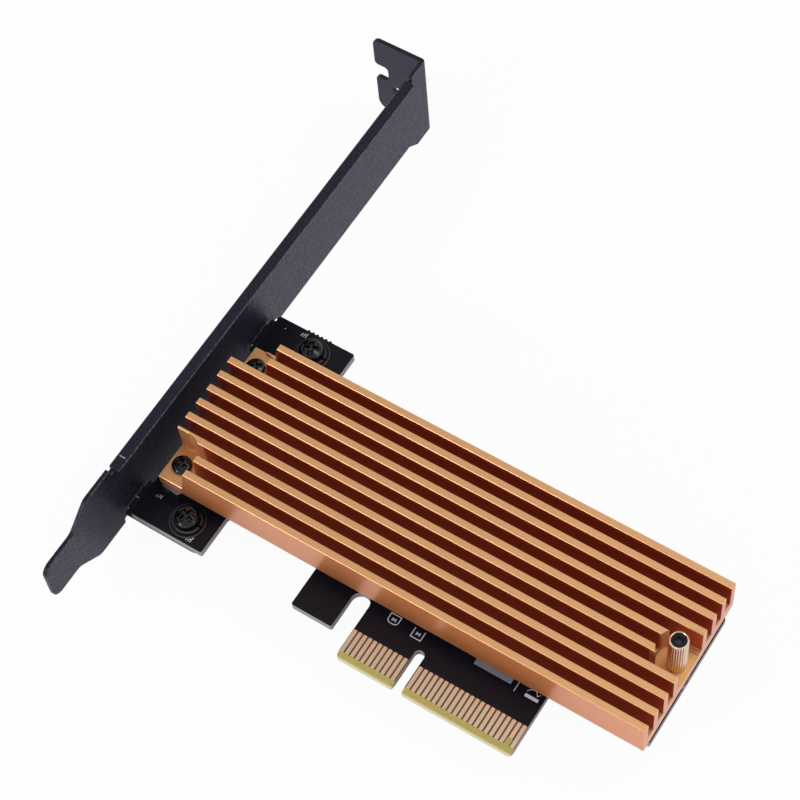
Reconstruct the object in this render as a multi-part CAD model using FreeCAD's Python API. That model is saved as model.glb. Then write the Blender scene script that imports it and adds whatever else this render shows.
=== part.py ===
"""M.2 solid-state drive adapter card for a PCI Express slot, with a finned heatsink.

Millimetres. X runs along the board, from the slot bracket to the free end. Y runs from the
contact edge to the far edge, and up the bracket to its ear. Z points out of the component side.
The origin is in the middle of the contact edge's key notch, on the contact edge's lowest line
and on the board's component face.
"""
import FreeCAD
import Part
import math
import os

# --- circuit board ---
board_thickness = 1.6
board_bracket_gap = 2.0         # between the bracket's inner face and the board
board_end_margin = 2.1          # board past the thumb nut's axis
board_far_y = 50.5              # far edge of the wide stretch beside the bracket
strip_near_y = 13.4             # near edge of the narrow strip under the heatsink
strip_far_y = 39.2              # far edge of that strip
lobe_near_y = 4.1               # near edge of the two stubs beside the contact tongue
near_lobe_length = 14.9         # stub at the bracket, along X
far_lobe_length = 16.2          # wide stretch at the bracket, along X
tab_width = 8.1                 # stub beside the contact tongue
tab_notch_width = 3.5           # round-topped slot between that stub and the tongue
tab_notch_top_y = 12.1
board_corner_radius = 0.35
recess_corner_radius = 1.8
breakaway_count = 6             # stubs left on the far edge where the board was snapped out
breakaway_pitch = 0.92
breakaway_radius = 0.25
breakaway_offset = 8.7          # from the board's bracket-side edge to their middle

# --- contact edge, standard pad pattern ---
pad_pitch = 1.0
pad_gap = 0.34
pad_thickness = 0.05
pads_before_key = 11
pads_after_key = 21
key_pad_spacing = 3.0           # between the middles of the two pads beside the key notch
pad_far_y = 5.75
pad_chamfer = 0.15              # at the pads' far corners
short_pad_inset = 1.3           # how much later the presence pad starts
key_width = 1.9
key_depth = 8.2
tongue_margin = 0.12            # bare board outside the first and last pad
tongue_corner_radius = 0.8
key_corner_radius = 0.4
bevel_length = 1.3
bevel_drop = 0.5

# --- folded slot bracket, full height ---
sheet = 0.86
bracket_inner_x = -59.1         # face towards the board
bracket_near_z = 13.0           # edge on the component side
bracket_width = 18.42
bracket_wide_width = 20.7       # beside the ear
bracket_height = 120.02
bracket_tip_y = -15.32          # the foot's end
ear_depth = 11.4                # from the inner face to the ear's outer edge
ear_near_radius = 1.5
ear_far_radius = 2.4
ear_slot_width = 3.8
ear_slot_depth = 2.9
ear_slot_radius = 0.9
ear_slot_offset = 9.2           # from the component-side edge
ear_hole_radius = 0.9
ear_hole_offset = 13.0
ear_hole_inset = 4.7            # from the ear's outer edge
wide_length = 4.9               # wide stretch below the ear
wide_taper = 2.7
flange_width = 2.28             # return flange along the component-side edge
flange_start_y = 5.3
flange_end_gap = 5.9            # from the ear's top to the flange's end
flange_corner_radius = 0.9
relief_width = 0.9
relief_depth = 1.3
fold_radius = 0.4
ear_fold_radius = 0.75
foot_width = 10.1               # narrow foot that enters the chassis
foot_near_offset = 4.2          # from the component-side edge
foot_taper_near_y = -2.3
foot_taper_far_y = -3.3
foot_taper_length = 5.0
foot_tip_radius = 2.0
foot_taper_radius = 2.2

# --- bracket tabs under the board, and what fastens them ---
tab_reach = 15.9                # from the bracket's inner face
bracket_tab_width = 7.4
tab_low_inset = 0.1             # from the board's near edge to the low tab
tab_high_inset = 0.5            # from the board's far edge to the high tab
tab_corner_radius = 1.2
tab_root_inset = 1.4            # how much narrower each tab's fold is, at either side
tab_root_gap = 0.4              # between the bracket's inner face and the rest of the tab
edge_notch_depth = 1.3          # shallow notch in the bracket's edge outside each fold
edge_notch_low_reach = 0.15     # past the low tab's outer side
edge_notch_high_reach = 2.15    # past the high tab's outer side
edge_notch_radius = 0.5
bracket_screw_offset = 9.6      # from the board's bracket-side edge
bracket_screw_low_y = 7.9
bracket_screw_high_y = 46.6
bracket_screw_radius = 1.45
bracket_screw_clearance = 0.15
bracket_screw_head_radius = 2.15
bracket_screw_head_height = 1.7
bracket_screw_tail = 0.5        # thread that shows under the tab
washer_radius = 3.3
washer_thickness = 0.4
lock_washer_radius = 2.65
lock_washer_thickness = 0.7
lock_washer_split = 0.35
lock_washer_split_slant = 25    # degrees from upright

# --- heatsink, a milled length of finned extrusion ---
fin_count = 10
fin_pitch = 3.18
fin_thickness = 1.28
heatsink_board_inset = 2.25     # from the board's bracket-side edge to the heatsink's end
heatsink_end_margin = 2.4       # heatsink past the thumb nut's axis
heatsink_height = 8.3
heatsink_base = 2.4
heatsink_lift = 3.2             # its underside above the board
heatsink_axis_y = 25.6
pocket_sink = 0.2               # milled floors below the floors between the fins
corner_pocket_length = 6.1      # at the fins' tops
corner_pocket_draft = 1.15      # how much shorter the corner pockets are at their floors
corner_pocket_near_width = 7.15
corner_pocket_far_width = 6.15
corner_pocket_radius = 3.6
corner_pocket_far_radius = 2.0
far_land_height = 0.5           # uncut land at the far corner, above the pocket's floor
far_land_start = 2.45           # from the heatsink's bracket-side end
far_seat_radius = 3.4           # round floor about the far screw
nut_pocket_radius = 3.15
nut_pocket_offset = 0.5         # its round end's middle, from the thumb nut towards the bracket
heatsink_screw_inset = 2.55     # from the heatsink's bracket-side end
heatsink_screw_near_inset = 3.65    # from the near side
heatsink_screw_far_inset = 3.75     # from the far side
heatsink_screw_radius = 0.95
heatsink_screw_clearance = 0.1
heatsink_screw_head_radius = 1.8
heatsink_screw_head_height = 1.25
heatsink_screw_grip = 2.2       # thread that enters the standoff

# --- hexagonal standoffs under the heatsink's bracket end ---
standoff_width = 5.8            # across the flats
standoff_turn = -5.0            # degrees from a flat that faces the contact edge
standoff_offset = 1.3           # hexagon's middle from its thread, towards the contact edge
standoff_spigot_radius = 1.35
spigot_clearance = 0.05

# --- thumb nut, its screw and the spacer at the drive's free end ---
nut_radius = 1.68
nut_height = 9.9
nut_rib_count = 24
nut_rib_depth = 0.13
nut_bore_clearance = 0.1
clamp_screw_radius = 0.85
clamp_head_radius = 1.3
clamp_head_height = 1.4
clamp_head_inset = 0.12         # below the nut's top
clamp_head_clearance = 0.04
hex_width = 1.3
hex_depth = 0.9
spacer_radius = 1.75
spacer_foot_radius = 2.35
spacer_foot_height = 0.8
clamp_screw_grip = 2.4

# --- drive socket ---
drive_length = 80.0             # from its seated edge to the thumb nut's axis
socket_offset = 13.9            # from the board's bracket-side edge to the socket's back
socket_wall = 1.3               # from the drive's seated edge to the socket's back
socket_depth = 5.6
socket_width = 21.9
socket_height = 2.9
socket_slot_width = 20.1
socket_slot_height = 1.0
socket_slot_lift = 1.05
socket_key_width = 1.1
socket_key_offset = 6.1         # from the drive's middle line
socket_pin_pitch = 0.5
socket_pin_width = 0.22
socket_pin_height = 0.15
socket_pin_length = 1.0
rear_pin_count = 37
front_pin_count = 36
anchor_thickness = 0.3
anchor_length = 2.2
anchor_height = 1.3
anchor_foot = 1.2

# --- supply capacitors beside the socket ---
capacitor_count = 3
capacitor_length = 2.0
capacitor_width = 1.25
capacitor_height = 1.2
capacitor_end = 0.4
capacitor_pitch = 3.2
capacitor_socket_gap = 1.6
capacitor_edge_gap = 0.35       # to the strip's far edge

screw_cross_width = 0.28        # share of the head's radius
screw_cross_reach = 0.62        # share of the head's radius
screw_cross_depth = 0.55        # share of the head's height

# --- worked out from the values above ---
board_left_x = bracket_inner_x + board_bracket_gap
socket_back_x = board_left_x + socket_offset
socket_front_x = socket_back_x + socket_depth
socket_slot_depth = socket_depth - socket_wall
nut_x = socket_back_x + socket_wall + drive_length
board_end_x = nut_x + board_end_margin
bracket_screw_x = board_left_x + bracket_screw_offset
breakaway_x = board_left_x + breakaway_offset
capacitor_x = socket_front_x + capacitor_socket_gap
board_bottom_z = -board_thickness
pad_width = pad_pitch - pad_gap
first_pad_x = -key_pad_spacing / 2 - (pads_before_key - 1) * pad_pitch
last_pad_x = key_pad_spacing / 2 + (pads_after_key - 1) * pad_pitch
tongue_left_x = first_pad_x - pad_width / 2 - tongue_margin
tongue_right_x = last_pad_x + pad_width / 2 + tongue_margin
tab_right_x = tongue_left_x - tab_notch_width
tab_left_x = tab_right_x - tab_width
bracket_outer_x = bracket_inner_x - sheet
bracket_far_z = bracket_near_z - bracket_width
bracket_wide_far_z = bracket_near_z - bracket_wide_width
ear_top_y = bracket_tip_y + bracket_height
flange_end_y = ear_top_y - flange_end_gap
tab_low_start_y = lobe_near_y + tab_low_inset
tab_low_end_y = tab_low_start_y + bracket_tab_width
tab_high_end_y = board_far_y - tab_high_inset
tab_high_start_y = tab_high_end_y - bracket_tab_width
ear_outer_x = bracket_inner_x - ear_depth
tab_end_x = bracket_inner_x + tab_reach
tab_bottom_z = board_bottom_z - sheet
heatsink_left_x = board_left_x + heatsink_board_inset
heatsink_right_x = nut_x + heatsink_end_margin
heatsink_width = (fin_count - 1) * fin_pitch + fin_thickness
heatsink_near_y = heatsink_axis_y - heatsink_width / 2
heatsink_far_y = heatsink_axis_y + heatsink_width / 2
heatsink_screw_x = heatsink_left_x + heatsink_screw_inset
heatsink_screw_near_y = heatsink_near_y + heatsink_screw_near_inset
heatsink_screw_far_y = heatsink_far_y - heatsink_screw_far_inset
heatsink_bottom_z = heatsink_lift
heatsink_top_z = heatsink_bottom_z + heatsink_height
fin_floor_z = heatsink_bottom_z + heatsink_base
pocket_floor_z = fin_floor_z - pocket_sink
past = 1.0                      # how far a cutting tool runs past what it cuts


# --- shared shapes ---

def vector(x, y, z):
    return FreeCAD.Vector(x, y, z)


def box(low, high):
    """A block between two opposite corners."""
    size = [b - a for a, b in zip(low, high)]
    return Part.makeBox(size[0], size[1], size[2], vector(*low))


def upright_cylinder(radius, x, y, low_z, high_z):
    return Part.makeCylinder(radius, high_z - low_z, vector(x, y, low_z), vector(0, 0, 1))


def rounded_face(corners, place):
    """A flat face through corners (a, b, radius), each rounded by its radius; place(a, b) is in space."""
    arcs = []
    for index, (a, b, radius) in enumerate(corners):
        here = vector(a, b, 0)
        before = vector(corners[index - 1][0], corners[index - 1][1], 0) - here
        after_corner = corners[(index + 1) % len(corners)]
        after = vector(after_corner[0], after_corner[1], 0) - here
        if radius <= 0:
            arcs.append((here,))
            continue
        before.normalize()
        after.normalize()
        half_turn = before.getAngle(after) / 2
        reach = radius / math.tan(half_turn)
        bisector = before + after
        bisector.normalize()
        middle = here + bisector * (radius / math.sin(half_turn) - radius)
        arcs.append((here + before * reach, middle, here + after * reach))
    edges = []
    for index, arc in enumerate(arcs):
        if len(arc) == 3:
            edges.append(Part.Arc(*[place(point.x, point.y) for point in arc]).toShape())
        start = arc[-1]
        end = arcs[(index + 1) % len(arcs)][0]
        if start.distanceToPoint(end) > 1e-6:
            edges.append(Part.LineSegment(place(start.x, start.y), place(end.x, end.y)).toShape())
    return Part.Face(Part.Wire(edges))


def plate_xy(corners, low_z, high_z):
    """A plate with its outline in X and Y."""
    face = rounded_face(corners, lambda a, b: vector(a, b, low_z))
    return face.extrude(vector(0, 0, high_z - low_z))


def plate_yz(corners, low_x, high_x):
    """A plate with its outline in Y and Z."""
    face = rounded_face(corners, lambda a, b: vector(low_x, a, b))
    return face.extrude(vector(high_x - low_x, 0, 0))


def plate_xz(corners, low_y, high_y):
    """A plate with its outline in X and Z."""
    face = rounded_face(corners, lambda a, b: vector(a, low_y, b))
    return face.extrude(vector(0, high_y - low_y, 0))


def revolve_z(profile, x, y):
    """A turned piece: profile points (radius, z) about the upright axis at x, y."""
    points = [vector(x + radius, y, z) for radius, z in profile]
    points.append(points[0])
    face = Part.Face(Part.makePolygon(points))
    return face.revolve(vector(x, y, 0), vector(0, 0, 1), 360)


def hexagon_points(width, x, y, z, turn):
    """The seven points of a closed hexagon; turn is in degrees from a corner on the X side."""
    corner_radius = width / math.sqrt(3)
    points = []
    for index in range(7):
        angle = math.radians(60 * index + turn)
        points.append(vector(x + corner_radius * math.cos(angle), y + corner_radius * math.sin(angle), z))
    return points


def pan_head_screw(x, y, seat_z, tail_z, shank_radius, head_radius, head_height):
    """A cross-recess screw standing upright: a low domed head on its seat, and a plain shank."""
    rim_height = 0.45 * head_height
    rise = head_height - rim_height
    dome_radius = (head_radius ** 2 + rise ** 2) / (2 * rise)
    dome = Part.makeSphere(dome_radius, vector(x, y, seat_z + head_height - dome_radius))
    head = upright_cylinder(head_radius, x, y, seat_z, seat_z + head_height).common(dome)
    shank = upright_cylinder(shank_radius, x, y, tail_z, seat_z)
    reach = screw_cross_reach * head_radius
    half = screw_cross_width * head_radius / 2
    floor_z = seat_z + head_height * (1 - screw_cross_depth)
    top_z = seat_z + head_height + past
    cross = box((x - reach, y - half, floor_z), (x + reach, y + half, top_z))
    cross = cross.fuse(box((x - half, y - reach, floor_z), (x + half, y + reach, top_z)))
    return head.cut(cross).fuse(shank)


# --- circuit board and its contact pads ---

def pad_middles():
    """The middle of each pad along X, from the bracket's side to the free end."""
    before = [first_pad_x + index * pad_pitch for index in range(pads_before_key)]
    after = [key_pad_spacing / 2 + index * pad_pitch for index in range(pads_after_key)]
    return before + after


def board_outline():
    small = board_corner_radius
    left = board_left_x
    near_lobe_x = left + near_lobe_length
    far_lobe_x = left + far_lobe_length
    key = key_width / 2
    notch = tab_notch_width / 2
    return [
        (left, lobe_near_y, small),
        (near_lobe_x, lobe_near_y, small),
        (near_lobe_x, strip_near_y, recess_corner_radius),
        (tab_left_x, strip_near_y, recess_corner_radius),
        (tab_left_x, lobe_near_y, small),
        (tab_right_x, lobe_near_y, small),
        (tab_right_x, tab_notch_top_y, notch),
        (tongue_left_x, tab_notch_top_y, notch),
        (tongue_left_x, 0, tongue_corner_radius),
        (-key, 0, key_corner_radius),
        (-key, key_depth, key),
        (key, key_depth, key),
        (key, 0, key_corner_radius),
        (tongue_right_x, 0, tongue_corner_radius),
        (tongue_right_x, strip_near_y, small),
        (board_end_x, strip_near_y, small),
        (board_end_x, strip_far_y, small),
        (far_lobe_x, strip_far_y, small),
        (far_lobe_x, board_far_y, small),
        (left, board_far_y, small),
    ]


def contact_bevels():
    """The wedges cut from both faces along the contact edge."""
    slope = bevel_drop / bevel_length
    run = bevel_length + past
    wedges = []
    for face_z, inward in ((0, -1), (board_bottom_z, 1)):
        corners = [
            (bevel_length, face_z, 0),
            (-past, face_z + inward * slope * run, 0),
            (-past, face_z, 0),
        ]
        wedges.append(plate_yz(corners, tongue_left_x - past, tongue_right_x + past))
    return wedges


def make_board():
    board = plate_xy(board_outline(), board_bottom_z, 0)
    for index in range(breakaway_count):
        x = breakaway_x + (index - (breakaway_count - 1) / 2) * breakaway_pitch
        board = board.fuse(upright_cylinder(breakaway_radius, x, board_far_y, board_bottom_z, 0))
    holes = [
        (bracket_screw_radius + bracket_screw_clearance, bracket_screw_x, bracket_screw_low_y),
        (bracket_screw_radius + bracket_screw_clearance, bracket_screw_x, bracket_screw_high_y),
        (standoff_spigot_radius + spigot_clearance, heatsink_screw_x, heatsink_screw_near_y),
        (standoff_spigot_radius + spigot_clearance, heatsink_screw_x, heatsink_screw_far_y),
        (standoff_spigot_radius + spigot_clearance, nut_x, heatsink_axis_y),
    ]
    for radius, x, y in holes:
        board = board.cut(upright_cylinder(radius, x, y, board_bottom_z - past, past))
    return board.cut(contact_bevels()).removeSplitter()


def make_pads(low_z, high_z, short_index):
    """One face's row of contact pads, with the presence pad starting later than the rest."""
    pads = []
    half = pad_width / 2
    for index, x in enumerate(pad_middles()):
        near_y = bevel_length
        if index == short_index:
            near_y += short_pad_inset
        corners = [
            (x - half, near_y, 0),
            (x + half, near_y, 0),
            (x + half, pad_far_y - pad_chamfer, 0),
            (x + half - pad_chamfer, pad_far_y, 0),
            (x - half + pad_chamfer, pad_far_y, 0),
            (x - half, pad_far_y - pad_chamfer, 0),
        ]
        pads.append(plate_xy(corners, low_z, high_z))
    return Part.makeCompound(pads)


# --- folded slot bracket ---

def bracket_outline():
    """The upright sheet's outline, Y and Z, from the ear down to the foot and back."""
    foot_near_z = bracket_near_z - foot_near_offset
    foot_far_z = foot_near_z - foot_width
    taper = foot_taper_radius
    wide_end_y = ear_top_y - wide_length
    return [
        (ear_top_y, bracket_near_z, 0),
        (ear_top_y, bracket_wide_far_z, 0),
        (wide_end_y, bracket_wide_far_z, 0.5),
        (wide_end_y - wide_taper, bracket_far_z, 0.5),
        (foot_taper_far_y, bracket_far_z, taper),
        (foot_taper_far_y - foot_taper_length, foot_far_z, taper),
        (bracket_tip_y, foot_far_z, foot_tip_radius),
        (bracket_tip_y, foot_near_z, foot_tip_radius),
        (foot_taper_near_y - foot_taper_length, foot_near_z, taper),
        (foot_taper_near_y, bracket_near_z, taper),
    ]


def bracket_reliefs():
    """The notches cut before folding: at the flange's ends, and under and beside each tab's fold."""
    low_x = bracket_outer_x - past
    high_x = bracket_inner_x + past
    cuts = []
    for start_y in (flange_start_y - relief_width, flange_end_y):
        low = (low_x, start_y, bracket_near_z - relief_depth)
        cuts.append(box(low, (high_x, start_y + relief_width, bracket_near_z + past)))
    edge_z = bracket_far_z - past
    notch_z = bracket_far_z + edge_notch_depth
    low_root_y = tab_low_start_y + tab_root_inset
    high_root_y = tab_high_end_y - tab_root_inset
    roots = ((low_root_y, tab_low_end_y - tab_root_inset), (tab_high_start_y + tab_root_inset, high_root_y))
    for start_y, end_y in roots:
        cuts.append(box((low_x, start_y, edge_z), (high_x, end_y, tab_bottom_z)))
    low_notch = [
        (tab_low_start_y - edge_notch_low_reach, edge_z, 0),
        (low_root_y, edge_z, 0),
        (low_root_y, notch_z, 0),
        (tab_low_start_y - edge_notch_low_reach, notch_z, edge_notch_radius),
    ]
    high_notch = [
        (high_root_y, edge_z, 0),
        (tab_high_end_y + edge_notch_high_reach, edge_z, 0),
        (tab_high_end_y + edge_notch_high_reach, notch_z, edge_notch_radius),
        (high_root_y, notch_z, 0),
    ]
    cuts.append(plate_yz(low_notch, low_x, high_x))
    cuts.append(plate_yz(high_notch, low_x, high_x))
    return cuts


def make_ear():
    """The fold that is screwed to the chassis, with its open screw slot and a small hole."""
    slot_z = bracket_near_z - ear_slot_offset
    half = ear_slot_width / 2
    slot_end_x = ear_outer_x + ear_slot_depth
    corners = [
        (bracket_inner_x, bracket_near_z, 0),
        (bracket_inner_x, bracket_wide_far_z, 0),
        (ear_outer_x, bracket_wide_far_z, ear_far_radius),
        (ear_outer_x, slot_z - half, ear_slot_radius),
        (slot_end_x, slot_z - half, ear_slot_radius),
        (slot_end_x, slot_z + half, ear_slot_radius),
        (ear_outer_x, slot_z + half, ear_slot_radius),
        (ear_outer_x, bracket_near_z, ear_near_radius),
    ]
    ear = plate_xz(corners, ear_top_y - sheet, ear_top_y)
    hole_x = ear_outer_x + ear_hole_inset
    hole_z = bracket_near_z - ear_hole_offset
    base = vector(hole_x, ear_top_y - sheet - past, hole_z)
    return ear.cut(Part.makeCylinder(ear_hole_radius, sheet + 2 * past, base, vector(0, 1, 0)))


def make_flange():
    """The return flange that stiffens the component-side edge."""
    free_x = bracket_outer_x + flange_width
    corners = [
        (bracket_outer_x, flange_start_y, 0),
        (free_x, flange_start_y, flange_corner_radius),
        (free_x, flange_end_y, flange_corner_radius),
        (bracket_outer_x, flange_end_y, 0),
    ]
    return plate_xy(corners, bracket_near_z - sheet, bracket_near_z)


def make_bracket_tab(start_y, end_y, screw_y):
    """A tab folded under the board, wider than its fold, with its screw's threaded hole."""
    root_x = bracket_inner_x + tab_root_gap
    corners = [
        (bracket_outer_x, start_y + tab_root_inset, 0),
        (root_x, start_y + tab_root_inset, 0),
        (root_x, start_y, 0),
        (tab_end_x, start_y, tab_corner_radius),
        (tab_end_x, end_y, tab_corner_radius),
        (root_x, end_y, 0),
        (root_x, end_y - tab_root_inset, 0),
        (bracket_outer_x, end_y - tab_root_inset, 0),
    ]
    tab = plate_xy(corners, tab_bottom_z, board_bottom_z)
    hole = upright_cylinder(
        bracket_screw_radius, bracket_screw_x, screw_y, tab_bottom_z - past, board_bottom_z + past)
    return tab.cut(hole)


def round_folds(shape):
    """Round the outside of each fold: the flange's and the two tabs' tightly, the ear's more."""
    ear_folds = []
    tight_folds = []
    for edge in shape.Edges:
        bounds = edge.BoundBox
        along_z = bounds.ZLength > 5 * sheet
        along_y = bounds.YLength > 5 * sheet
        at_ear = (abs(bounds.XMin - bracket_inner_x) < 1e-4 and abs(bounds.XMax - bracket_inner_x) < 1e-4
                  and abs(bounds.YMin - ear_top_y) < 1e-4 and along_z)
        on_outside = abs(bounds.XMin - bracket_outer_x) < 1e-4 and abs(bounds.XMax - bracket_outer_x) < 1e-4
        at_flange = on_outside and abs(bounds.ZMin - bracket_near_z) < 1e-4 and bounds.YMin > 0 and along_y
        at_tab = (on_outside and abs(bounds.ZMin - tab_bottom_z) < 1e-4
                  and abs(bounds.ZMax - tab_bottom_z) < 1e-4 and along_y)
        if at_ear:
            ear_folds.append(edge)
        elif at_flange or at_tab:
            tight_folds.append(edge)
    shape = shape.makeFillet(min(fold_radius, 0.9 * sheet), tight_folds)
    return shape.makeFillet(min(ear_fold_radius, 0.9 * sheet), ear_folds)


def make_bracket():
    sheet_plate = plate_yz(bracket_outline(), bracket_outer_x, bracket_inner_x)
    sheet_plate = sheet_plate.cut(bracket_reliefs())
    folded = [
        make_ear(),
        make_flange(),
        make_bracket_tab(tab_low_start_y, tab_low_end_y, bracket_screw_low_y),
        make_bracket_tab(tab_high_start_y, tab_high_end_y, bracket_screw_high_y),
    ]
    return round_folds(sheet_plate.fuse(folded).removeSplitter())


# --- heatsink ---

def make_heatsink():
    body = box((heatsink_left_x, heatsink_near_y, heatsink_bottom_z),
               (heatsink_right_x, heatsink_far_y, heatsink_top_z))
    cuts = []
    for index in range(fin_count - 1):
        gap_near_y = heatsink_near_y + index * fin_pitch + fin_thickness
        gap_far_y = gap_near_y + fin_pitch - fin_thickness
        cuts.append(box((heatsink_left_x - past, gap_near_y, fin_floor_z),
                        (heatsink_right_x + past, gap_far_y, heatsink_top_z + past)))
    cuts += corner_pockets()
    cuts.append(nut_pocket())
    cuts += heatsink_holes()
    return body.cut(cuts).removeSplitter()


def corner_pockets():
    """The two milled corners at the bracket end, and the far one's deeper floor about its screw."""
    near_wall_y = heatsink_near_y + corner_pocket_near_width
    far_wall_y = heatsink_far_y - corner_pocket_far_width
    outside_near = heatsink_near_y - past
    outside_far = heatsink_far_y + past
    land_z = pocket_floor_z + far_land_height
    near = drafted_pocket(outside_near, near_wall_y, pocket_floor_z, 0, corner_pocket_radius)
    far_full = drafted_pocket(far_wall_y, outside_far, pocket_floor_z, corner_pocket_far_radius, 0)
    far_high = drafted_pocket(far_wall_y, outside_far, land_z, corner_pocket_far_radius, 0)
    seat = upright_cylinder(far_seat_radius, heatsink_screw_x, heatsink_screw_far_y,
                            pocket_floor_z, land_z)
    beside = box((heatsink_left_x - past, far_wall_y, pocket_floor_z),
                 (heatsink_left_x + far_land_start, outside_far, land_z))
    return [near, far_high, far_full.common(seat), far_full.common(beside)]


def drafted_pocket(near_y, far_y, floor_z, near_radius, far_radius):
    """A corner cut with rounded inner corners, whose end wall leans back as it rises."""
    left = heatsink_left_x - past
    right = heatsink_left_x + corner_pocket_length
    corners = [
        (left, near_y, 0),
        (right, near_y, near_radius),
        (right, far_y, far_radius),
        (left, far_y, 0),
    ]
    kept_wall = [
        (right - corner_pocket_draft, pocket_floor_z, 0),
        (right + past, pocket_floor_z, 0),
        (right + past, heatsink_top_z, 0),
        (right, heatsink_top_z, 0),
    ]
    pocket = plate_xy(corners, floor_z, heatsink_top_z + past)
    return pocket.cut(plate_xz(kept_wall, near_y - past, far_y + past))


def nut_pocket():
    """The round-ended pocket that leaves room for fingers round the thumb nut."""
    radius = nut_pocket_radius
    left = nut_x - nut_pocket_offset - radius
    right = heatsink_right_x + past
    corners = [
        (left, heatsink_axis_y - radius, radius),
        (right, heatsink_axis_y - radius, 0),
        (right, heatsink_axis_y + radius, 0),
        (left, heatsink_axis_y + radius, radius),
    ]
    return plate_xy(corners, pocket_floor_z, heatsink_top_z + past)


def heatsink_holes():
    screw_hole = heatsink_screw_radius + heatsink_screw_clearance
    clamp_hole = clamp_screw_radius + nut_bore_clearance
    places = [
        (screw_hole, heatsink_screw_x, heatsink_screw_near_y),
        (screw_hole, heatsink_screw_x, heatsink_screw_far_y),
        (clamp_hole, nut_x, heatsink_axis_y),
    ]
    return [upright_cylinder(radius, x, y, heatsink_bottom_z - past, heatsink_top_z + past)
            for radius, x, y in places]


# --- fasteners, standoffs and the thumb nut ---

def make_bracket_screw(y):
    seat_z = washer_thickness + lock_washer_thickness
    return pan_head_screw(bracket_screw_x, y, seat_z, tab_bottom_z - bracket_screw_tail,
                          bracket_screw_radius, bracket_screw_head_radius, bracket_screw_head_height)


def make_washer(y):
    disc = upright_cylinder(washer_radius, bracket_screw_x, y, 0, washer_thickness)
    hole_radius = bracket_screw_radius + bracket_screw_clearance
    return disc.cut(upright_cylinder(hole_radius, bracket_screw_x, y, -past, washer_thickness + past))


def make_lock_washer(y):
    """The split spring washer between the flat washer and the screw's head."""
    low_z = washer_thickness
    high_z = low_z + lock_washer_thickness
    ring = upright_cylinder(lock_washer_radius, bracket_screw_x, y, low_z, high_z)
    bore_radius = bracket_screw_radius + bracket_screw_clearance
    ring = ring.cut(upright_cylinder(bore_radius, bracket_screw_x, y, low_z - past, high_z + past))
    split = box((bracket_screw_x, y - lock_washer_split / 2, low_z - past),
                (bracket_screw_x + lock_washer_radius + past, y + lock_washer_split / 2, high_z + past))
    middle = vector(bracket_screw_x, y, (low_z + high_z) / 2)
    split.rotate(middle, vector(1, 0, 0), lock_washer_split_slant)
    return ring.cut(split)


def make_heatsink_screw(y):
    return pan_head_screw(heatsink_screw_x, y, pocket_floor_z, heatsink_bottom_z - heatsink_screw_grip,
                          heatsink_screw_radius, heatsink_screw_head_radius, heatsink_screw_head_height)


def make_standoff(y):
    """A threaded hexagonal post from the board to the heatsink's underside, with a spigot."""
    points = hexagon_points(standoff_width, heatsink_screw_x, y - standoff_offset, 0, standoff_turn)
    post = Part.Face(Part.makePolygon(points)).extrude(vector(0, 0, heatsink_bottom_z))
    spigot = upright_cylinder(standoff_spigot_radius, heatsink_screw_x, y, board_bottom_z, 0)
    bore = upright_cylinder(heatsink_screw_radius, heatsink_screw_x, y,
                            board_bottom_z - past, heatsink_bottom_z + past)
    return post.fuse(spigot).cut(bore)


def make_spacer():
    """A turned, threaded post with a wide foot on the board and a spigot in it."""
    profile = [
        (clamp_screw_radius, board_bottom_z),
        (standoff_spigot_radius, board_bottom_z),
        (standoff_spigot_radius, 0),
        (spacer_foot_radius, 0),
        (spacer_foot_radius, spacer_foot_height),
        (spacer_radius, spacer_foot_height),
        (spacer_radius, heatsink_bottom_z),
        (clamp_screw_radius, heatsink_bottom_z),
    ]
    return revolve_z(profile, nut_x, heatsink_axis_y)


def make_thumb_nut():
    """A tall sleeve with upright ribs, bored for its screw and opened out for the screw's head."""
    points = []
    for index in range(2 * nut_rib_count):
        radius = nut_radius - nut_rib_depth * (index % 2)
        angle = math.pi * index / nut_rib_count
        points.append(vector(nut_x + radius * math.cos(angle), heatsink_axis_y + radius * math.sin(angle),
                             pocket_floor_z))
    points.append(points[0])
    top_z = pocket_floor_z + nut_height
    body = Part.Face(Part.makePolygon(points)).extrude(vector(0, 0, nut_height))
    bore_radius = clamp_screw_radius + nut_bore_clearance
    bore = upright_cylinder(bore_radius, nut_x, heatsink_axis_y, pocket_floor_z - past, top_z + past)
    seat_radius = clamp_head_radius + clamp_head_clearance
    seat_z = top_z - clamp_head_inset - clamp_head_height
    seat = upright_cylinder(seat_radius, nut_x, heatsink_axis_y, seat_z, top_z + past)
    return body.cut([bore, seat])


def make_clamp_screw():
    """The socket-head screw inside the thumb nut, run down into the spacer."""
    head_top_z = pocket_floor_z + nut_height - clamp_head_inset
    seat_z = head_top_z - clamp_head_height
    head = upright_cylinder(clamp_head_radius, nut_x, heatsink_axis_y, seat_z, head_top_z)
    tail_z = heatsink_bottom_z - clamp_screw_grip
    shank = upright_cylinder(clamp_screw_radius, nut_x, heatsink_axis_y, tail_z, seat_z)
    points = hexagon_points(hex_width, nut_x, heatsink_axis_y, head_top_z - hex_depth, 0)
    socket = Part.Face(Part.makePolygon(points)).extrude(vector(0, 0, hex_depth + past))
    return head.cut(socket).fuse(shank)


# --- drive socket and capacitors ---

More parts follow.
